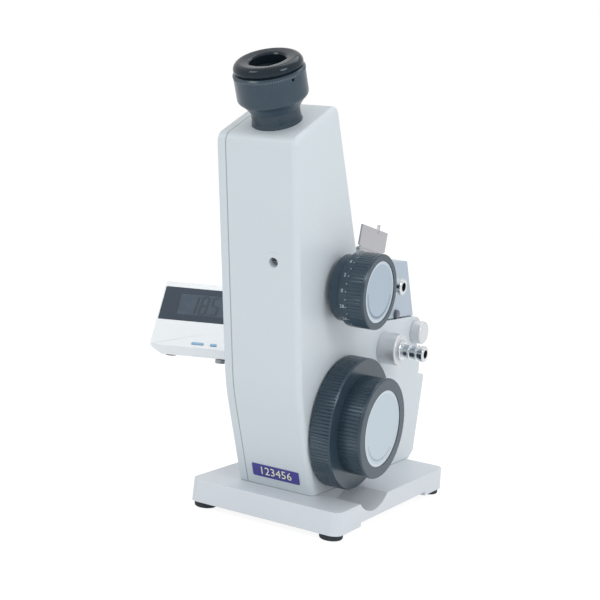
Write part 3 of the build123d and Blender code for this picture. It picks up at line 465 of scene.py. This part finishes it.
def refined(node, width, angle=32, finish=None, ribs=None):
    # a copy of the solid with its edges rounded by a width and smooth where they are softer than the angle
    work = bmesh.new()
    work.from_mesh(nodes[node].data)
    bmesh.ops.remove_doubles(work, verts=work.verts, dist=weld * mm)
    if ribs:
        softRibs(work, **ribs)
    bmesh.ops.dissolve_limit(work, angle_limit=turn(flatWithin), verts=work.verts, edges=work.edges)
    piece = link(node + "_fine", meshFrom(work, node + "_fine"))
    if width:
        soften = piece.modifiers.new("soften", "BEVEL")
        soften.width = width * mm
        soften.segments = 2
        soften.limit_method = "ANGLE"
        soften.angle_limit = turn(angle)
        soften.use_clamp_overlap = True
        soften.miter_outer = "MITER_ARC"
        piece = settled(piece)
    piece.data.shade_smooth()
    piece.data.set_sharp_from_angle(angle=turn(angle))
    level = piece.modifiers.new("level", "WEIGHTED_NORMAL")
    level.keep_sharp = True
    settled(piece)
    return dress(piece, finish or finishes[slotOf[node]], bodyOf[node], [node])


# ---- the optical axis leans towards the reader and is measured from the waist of the eyepiece
axisLean = turn(26.5)
opticWaist = (-1.35, -79.2, 197.5)


def alongOptic(rise):
    up = Vector((0, math.cos(axisLean), math.sin(axisLean)))
    foot = fromBase(*opticWaist) + Vector((0, -math.sin(axisLean), math.cos(axisLean))) * rise
    return plane(foot, Vector((1, 0, 0)), up)


# the width of the rounded edges of each piece that is copied, in mm
edgeWidths = {
    "base_plate": 0.8, "left_cover": 0.45, "body_housing": 0.45, "measuring_wheel": 0.12, "measuring_knob": 0.12,
    "compensator_knob": 0.1, "compensator_dial": 0.25, "secondary_prism_case": 0.5, "thermometer_case": 0.7,
    "thermometer_bracket": 0.3, "prism_hinge_pin": 0.3, "hose_hubs": 0.3, "main_hose_nipples": 0.12,
    "secondary_hose_nipples": 0.12, "shutter_plate": 0.12, "light_window_frame": 0.3, "rubber_feet": 0.4,
    "mode_button": 0.35, "hold_button": 0.35, "label_plate": 0.1, "focus_ring": 0.25, "eyecup": 0.0,
    "telescope_barrel": 0.2, "latch_button": 0.2, "sensor_socket": 0.3, "cover_screws": 0.15,
    "calibration_screw": 0.1, "measuring_knob_disc": 0.1, "compensator_knob_disc": 0.1, "main_prism_case": 0.3,
    "thermometer_feet": 0.2, "bracket_screws": 0.15, "body_bolts": 0.15, "foot_screws": 0.15,
}
madeHere = ("display_window",)
softAngles = {"thermometer_case": 20}
ownFinish = {
    "compensator_knob_disc": spunDisc("compensatorDisc", tint("dialDisc"), dialAxis, 13.3, tint("dialDiscEdge")),
    "latch_button": blackMould("latchPlastic", tint("latch"), rough=0.28, grain=0.03),
    "shutter_plate": turnedMetal("shutterPlate", tint("shutter"), rough=0.15, metal=0.9),
}
# straight ribs keep a share of their depth between their two ends in x
ribbed = {
    "measuring_wheel": {"axis": wheelAxis, "radius": 32.7, "depth": 0.5, "share": 0.26, "ends": (19.8, 29.4)},
    "measuring_knob": {"axis": wheelAxis, "radius": 24.8, "depth": 0.4, "share": 0.5, "ends": (29.8, 40.6)},
    "compensator_knob": {"axis": dialAxis, "radius": 18.1, "depth": 0.35, "share": 0.5, "ends": (31.7, 39.3)},
}
ribPlay = 0.05


def softRibs(work, axis, radius, depth, share, ends):
    middle = fromBase(0, *axis)
    start, stop = (fromBase(x, 0, 0)[0] for x in ends)
    for vertex in work.verts:
        x, y, z = vertex.co / mm
        dy, dz = y - middle[1], z - middle[2]
        reach = math.hypot(dy, dz)
        if start < x < stop and radius - depth - ribPlay < reach < radius:
            grown = (radius - (radius - reach) * share) / reach
            vertex.co = Vector((x, middle[1] + dy * grown, middle[2] + dz * grown)) * mm


for node, width in edgeWidths.items():
    refined(node, width, angle=softAngles.get(node, 32), finish=ownFinish.get(node), ribs=ribbed.get(node))
for node in nodes:
    if node not in edgeWidths and node not in madeHere:
        skin = nodes[node].data
        skin.materials.clear()
        skin.materials.append(finishes[slotOf[node]])
print("solids dressed")

# ---- fine marks: knurl of the eyepiece sleeve, scale and numbers of the compensator, strokes on the discs
knurlFinish = blackMould("knurlPlastic", tint("knurl"), rough=0.3, grain=0.1)
paintFinish = enamel("scalePaint", tint("paint"), rough=0.5)
strokeFinish = enamel("discStroke", tint("stroke"), rough=0.55)
faintFinish = enamel("discFaintStroke", tint("faintStroke"), rough=0.55)
knurl = {"teeth": 96, "radius": 16.33, "rise": 17.75, "length": 0.95, "width": 0.6, "depth": 0.36}
scaleBand = {"marks": 30, "x": 31.6, "radius": 18.1, "length": 0.7, "width": 0.3, "depth": 0.14,
             "numbers": 15, "jump": 2, "numberX": 29.7, "height": 2.5, "thick": 0.05, "turned": 1.0}
strokeThick = 0.12
discRows = {
    "compensatorStrokes": {"seat": (40.4, *dialAxis), "radius": 12.1, "from": 184, "to": 350, "count": 36,
                           "depth": 1.1, "width": 0.42, "finish": strokeFinish, "body": "compensator_drive"},
    "measuringStrokes": {"seat": (42.1, *wheelAxis), "radius": 15.6, "from": 208, "to": 314, "count": 22,
                         "depth": 1.2, "width": 0.42, "finish": faintFinish, "body": "measuring_drive"},
}

sleeveKnurl = barRing("sleeveKnurlTree", knurlFinish).grow(
    "sleeveKnurl", alongOptic(knurl["rise"]), Count=knurl["teeth"], Radius=knurl["radius"] * mm,
    Step=math.tau / knurl["teeth"], Depth=knurl["depth"] * mm, Width=knurl["width"] * mm,
    Length=knurl["length"] * mm)
dress(sleeveKnurl, knurlFinish, "focusing_ring")

scaleMarks = barRing("scaleMarkTree", paintFinish).grow(
    "scaleMarks", alongX(scaleBand["x"], *dialAxis), Count=scaleBand["marks"], Sides=4,
    Radius=scaleBand["radius"] * mm, Step=math.tau / scaleBand["marks"], Depth=scaleBand["depth"] * mm,
    Width=scaleBand["width"] * mm, Length=scaleBand["length"] * mm)
dress(scaleMarks, paintFinish, "compensator_drive")

for name, row in discRows.items():
    strokes = barRing(name + "Tree", row["finish"]).grow(
        name, alongX(*row["seat"]), Count=row["count"], Sides=8, Radius=row["radius"] * mm,
        Start=turn(row["from"]), Step=turn((row["to"] - row["from"]) / (row["count"] - 1)),
        Depth=row["depth"] * mm, Width=row["width"] * mm, Length=strokeThick * mm)
    dress(strokes, row["finish"], row["body"])


def flatWords(text, height, depth):
    letters = bpy.data.curves.new("letters", "FONT")
    letters.body = text
    letters.size = height * mm
    letters.extrude = depth * mm
    letters.align_x = "CENTER"
    letters.align_y = "CENTER"
    letters.resolution_u = 2
    thing = link("letters", letters)
    bpy.context.view_layer.update()
    mesh = bpy.data.meshes.new_from_object(thing.evaluated_get(bpy.context.evaluated_depsgraph_get()))
    bpy.data.objects.remove(thing)
    return mesh


def writeNumbers(d):
    # plain numbers bent round the band, reading along the axis
    whole = bmesh.new()
    axis = fromBase(d["numberX"], *dialAxis) * mm
    for index in range(d["numbers"]):
        mesh = flatWords(str(index * d["jump"]), d["height"], d["thick"])
        for vertex in mesh.vertices:
            u, v, w = vertex.co
            angle = turn(d["turned"]) + index * math.tau / d["numbers"] + v / (d["radius"] * mm)
            reach = d["radius"] * mm + w
            vertex.co = axis + Vector((u, -math.cos(angle) * reach, math.sin(angle) * reach))
        whole.from_mesh(mesh)
    piece = link("scaleNumbers", meshFrom(whole, "scaleNumbers"))
    return dress(piece, paintFinish, "compensator_drive")


writeNumbers(scaleBand)

# ---- plain figures on the label, laid on its leaning face
labelText = {"figures": "123456", "height": 6.4, "spread": 0.97, "lift": 0.03, "depth": 0.03}


def printLabel(d):
    # the plate's foremost corner and the one at its other end, up or down, give the lean of its face
    spots = [vertex.co for vertex in nodes["label_plate"].data.vertices]
    front = min(spots, key=lambda spot: spot.y)
    tallest, lowest = max(spots, key=lambda spot: spot.z), min(spots, key=lambda spot: spot.z)
    edge = tallest if front.z < (tallest.z + lowest.z) / 2 else lowest
    up = Vector((0, edge.y - front.y, edge.z - front.z)).normalized()
    up = up if up.z > 0 else -up
    across = Vector((1, 0, 0))
    out = across.cross(up)
    middle = out * max(spot.dot(out) for spot in spots)
    for way in (across, up):
        reaches = [spot.dot(way) for spot in spots]
        middle += way * (min(reaches) + max(reaches)) / 2
    mesh = flatWords(d["figures"], d["height"], d["depth"])
    mesh.transform(Matrix.Diagonal((d["spread"], 1, 1, 1)))
    mesh.transform(plane(middle / mm + out * d["lift"], across, up))
    return dress(link("labelFigures", mesh), enamel("labelInk", tint("labelInk"), rough=0.45), "stand")


printLabel(labelText)
print("scales marked")

# ---- thermometer display: a smoked bezel round a sunk liquid crystal with plain digits
# boxes are (left, low, right, high) on the sloped face, heights stand out from it
display = {"corner": (-87.0, -42.8, 72.8), "yaw": 28.4, "rise": 27.61,
           "outer": (0.85, 23.35, 49.15, 54.55), "outerRound": 0.8,
           "inner": (10.0, 28.9, 41.0, 49.0), "innerRound": 0.7, "play": 0.03,
           "low": -1.0, "high": 0.05, "face": 0.0, "edge": 0.06,
           "digitLow": 30.4, "digitHigh": 46.9, "stroke": 1.3, "gap": 0.12, "lean": 0.075,
           "proud": 0.03, "sunk": 0.1, "dotX": 26.7, "dotRadius": 0.55}
digitBars = {"1": "bc", "8": "abcdefg", "5": "acdfg"}
digitCells = (("1", 15.7, 19.2), ("8", 21.6, 25.0), ("5", 27.6, 31.0))
yaw, rise = turn(display["yaw"]), turn(display["rise"])
slopeSeat = plane(fromBase(*display["corner"]), Vector((math.cos(yaw), math.sin(yaw), 0)),
                  Vector((-math.sin(yaw) * math.cos(rise), math.cos(yaw) * math.cos(rise), math.sin(rise))))


def roundedLoop(box, radius, steps=5):
    x0, y0, x1, y1 = box
    points = []
    for cx, cy, start in ((x1 - radius, y1 - radius, 0), (x0 + radius, y1 - radius, 90),
                          (x0 + radius, y0 + radius, 180), (x1 - radius, y0 + radius, 270)):
        for k in range(steps + 1):
            angle = turn(start + 90 * k / steps)
            points.append((cx + radius * math.cos(angle), cy + radius * math.sin(angle)))
    return points


def ringPlate(outer, inner, low, high):
    work = bmesh.new()
    loops = [[work.verts.new((x * mm, y * mm, z * mm)) for x, y in points]
             for points, z in ((outer, low), (outer, high), (inner, high), (inner, low))]
    count = len(outer)
    for first, second in zip(loops, loops[1:] + loops[:1]):
        for k in range(count):
            work.faces.new((first[k], first[(k + 1) % count], second[(k + 1) % count], second[k]))
    return work


def plate(points, low, high, work=None):
    work = work or bmesh.new()
    floorLoop = [work.verts.new((x * mm, y * mm, low * mm)) for x, y in points]
    roofLoop = [work.verts.new((x * mm, y * mm, high * mm)) for x, y in points]
    work.faces.new(roofLoop)
    work.faces.new(floorLoop[::-1])
    for k in range(len(points)):
        after = (k + 1) % len(points)
        work.faces.new((floorLoop[k], floorLoop[after], roofLoop[after], roofLoop[k]))
    return work


def finished(work, name, finish, edge=0.0, replaced=()):
    mesh = meshFrom(work, name)
    mesh.transform(slopeSeat)
    piece = link(name, mesh)
    if edge:
        soften = piece.modifiers.new("soften", "BEVEL")
        soften.width = edge * mm
        soften.segments = 2
        soften.limit_method = "ANGLE"
        settled(piece)
    return dress(piece, finish, "stand", replaced)


outerLoop = roundedLoop(display["outer"], display["outerRound"])
innerLoop = roundedLoop(display["inner"], display["innerRound"])
bezel = ringPlate(outerLoop, innerLoop, display["low"], display["high"])
finished(bezel, "displayBezel", finishes["smoked_window"], display["edge"], ["display_window"])
left, low, right, high = display["inner"]
play = display["play"]
crystalLoop = roundedLoop((left + play, low + play, right - play, high - play), display["innerRound"] - play)
crystal = plate(crystalLoop, display["low"], display["face"])
finished(crystal, "displayCrystal", finishes["lcd"], display["edge"])


def digitStrokes(d):
    work = bmesh.new()
    low, high = d["digitLow"], d["digitHigh"]
    half, middle = d["stroke"] / 2, (low + high) / 2
    bottom, top = d["face"] - d["sunk"], d["face"] + d["proud"]
    for digit, left, right in digitCells:
        spans = {"a": ((left, high), (right, high)), "d": ((left, low), (right, low)),
                 "g": ((left, middle), (right, middle)), "f": ((left, middle), (left, high)),
                 "b": ((right, middle), (right, high)), "e": ((left, low), (left, middle)),
                 "c": ((right, low), (right, middle))}
        for key in digitBars[digit]:
            (ax, ay), (bx, by) = spans[key]
            length = math.hypot(bx - ax, by - ay)
            ux, uy = (bx - ax) / length, (by - ay) / length
            near, far = d["gap"], length - d["gap"]
            outline = ((near, 0), (near + half, -half), (far - half, -half), (far, 0),
                       (far - half, half), (near + half, half))
            points = [(ax + ux * a - uy * b, ay + uy * a + ux * b) for a, b in outline]
            points = [(x + (y - low) * d["lean"], y) for x, y in points]
            plate(points, bottom, top, work)
    angles = [k * math.tau / 12 for k in range(12)]
    dot = [(d["dotX"] + d["dotRadius"] * math.cos(a), low + d["dotRadius"] * math.sin(a)) for a in angles]
    return plate(dot, bottom, top, work)


digitInk = blackMould("digitInk", tint("digit"), rough=0.3, grain=0.01)
finished(digitStrokes(display), "displayDigits", digitInk)
print("display built")

# ---- floor, backdrop and light
# glows are what the camera sees; worldLight is what falls on the part
stageLook = {"floorGlow": 0.8, "glow": 1.14, "worldLight": 0.77, "mirrored": 0.86, "size": 6.0, "drop": 0.2}


def pourFloor(s):
    f = Finish("floorPaper")
    paper = f.noise(60, 2.0)
    base = f.mixed(paper, tint("floor"), scaled(tint("floor"), 0.99))
    f.feed(colour=base, rough=(paper - 0.5) * 0.1 + 0.7)
    glow = f.node("Emission", Color=(1.0, 1.0, 1.0, 1.0), Strength=s["glow"])
    rays = f.node("LightPath")
    blend = f.tree.nodes.new("ShaderNodeMixShader")
    seen = rays.maths("MAXIMUM", Wire(rays.socket.node.outputs["Is Glossy Ray"]))
    seen = seen.maths("MAXIMUM", Wire(rays.socket.node.outputs["Is Transmission Ray"]))
    join(f.tree, seen * s["floorGlow"], blend.inputs[0])
    f.tree.links.new(f.shader.outputs[0], blend.inputs[1])
    f.tree.links.new(glow.socket, blend.inputs[2])
    f.tree.links.new(blend.outputs[0], f.tree.nodes["Material Output"].inputs[0])
    half, level = s["size"] / 2, -s["drop"] * mm
    work = bmesh.new()
    corners = ((-half, -half), (half, -half), (half, half), (-half, half))
    work.faces.new([work.verts.new((x, y, level)) for x, y in corners])
    floor = link("floor", meshFrom(work, "floor"))
    floor.data.materials.append(f.material)


def lightWorld(s):
    world = bpy.data.worlds.new("studio")
    world.use_nodes = True
    scene.world = world
    tree = world.node_tree
    back = tree.nodes["Background"]
    rays = tree.nodes.new("ShaderNodeLightPath")
    mirrored = Wire(rays.outputs["Is Glossy Ray"]) * s["mirrored"]
    seen = Wire(rays.outputs["Is Camera Ray"]).maths("MAXIMUM", mirrored)
    seen = seen.maths("MAXIMUM", Wire(rays.outputs["Is Transmission Ray"]))
    strength = seen.maths("MAXIMUM", s["worldLight"])
    back.inputs["Color"].default_value = (1.0, 1.0, 1.0, 1.0)
    join(tree, strength, back.inputs["Strength"])


# areas of light, placed in metres and aimed at the middle of the part, with their power in watts
lampAim = (0, -0.02, 0.1)
lamps = {
    "key": {"at": (-0.55, -0.95, 1.05), "size": 0.42, "power": 2.5, "colour": (0.99, 1.0, 1.0)},
    "right": {"at": (1.05, -0.45, 0.75), "size": 0.42, "power": 3.5, "colour": (0.98, 0.99, 1.0)},
    "top": {"at": (0.1, 0.35, 1.3), "size": 0.8, "power": 3.2, "colour": (1.0, 1.0, 1.0)},
}


def hangLamp(name, lamp):
    data = bpy.data.lights.new(name, "AREA")
    data.size = lamp["size"]
    data.energy = lamp["power"]
    data.color = lamp["colour"]
    thing = bpy.data.objects.new(name, data)
    place = Vector(lamp["at"])
    thing.location = place
    thing.rotation_euler = (Vector(lampAim) - place).to_track_quat("-Z", "Y").to_euler()
    scene.collection.objects.link(thing)


pourFloor(stageLook)
lightWorld(stageLook)
for name, lamp in lamps.items():
    hangLamp(name + "Lamp", lamp)
print("stage lit")
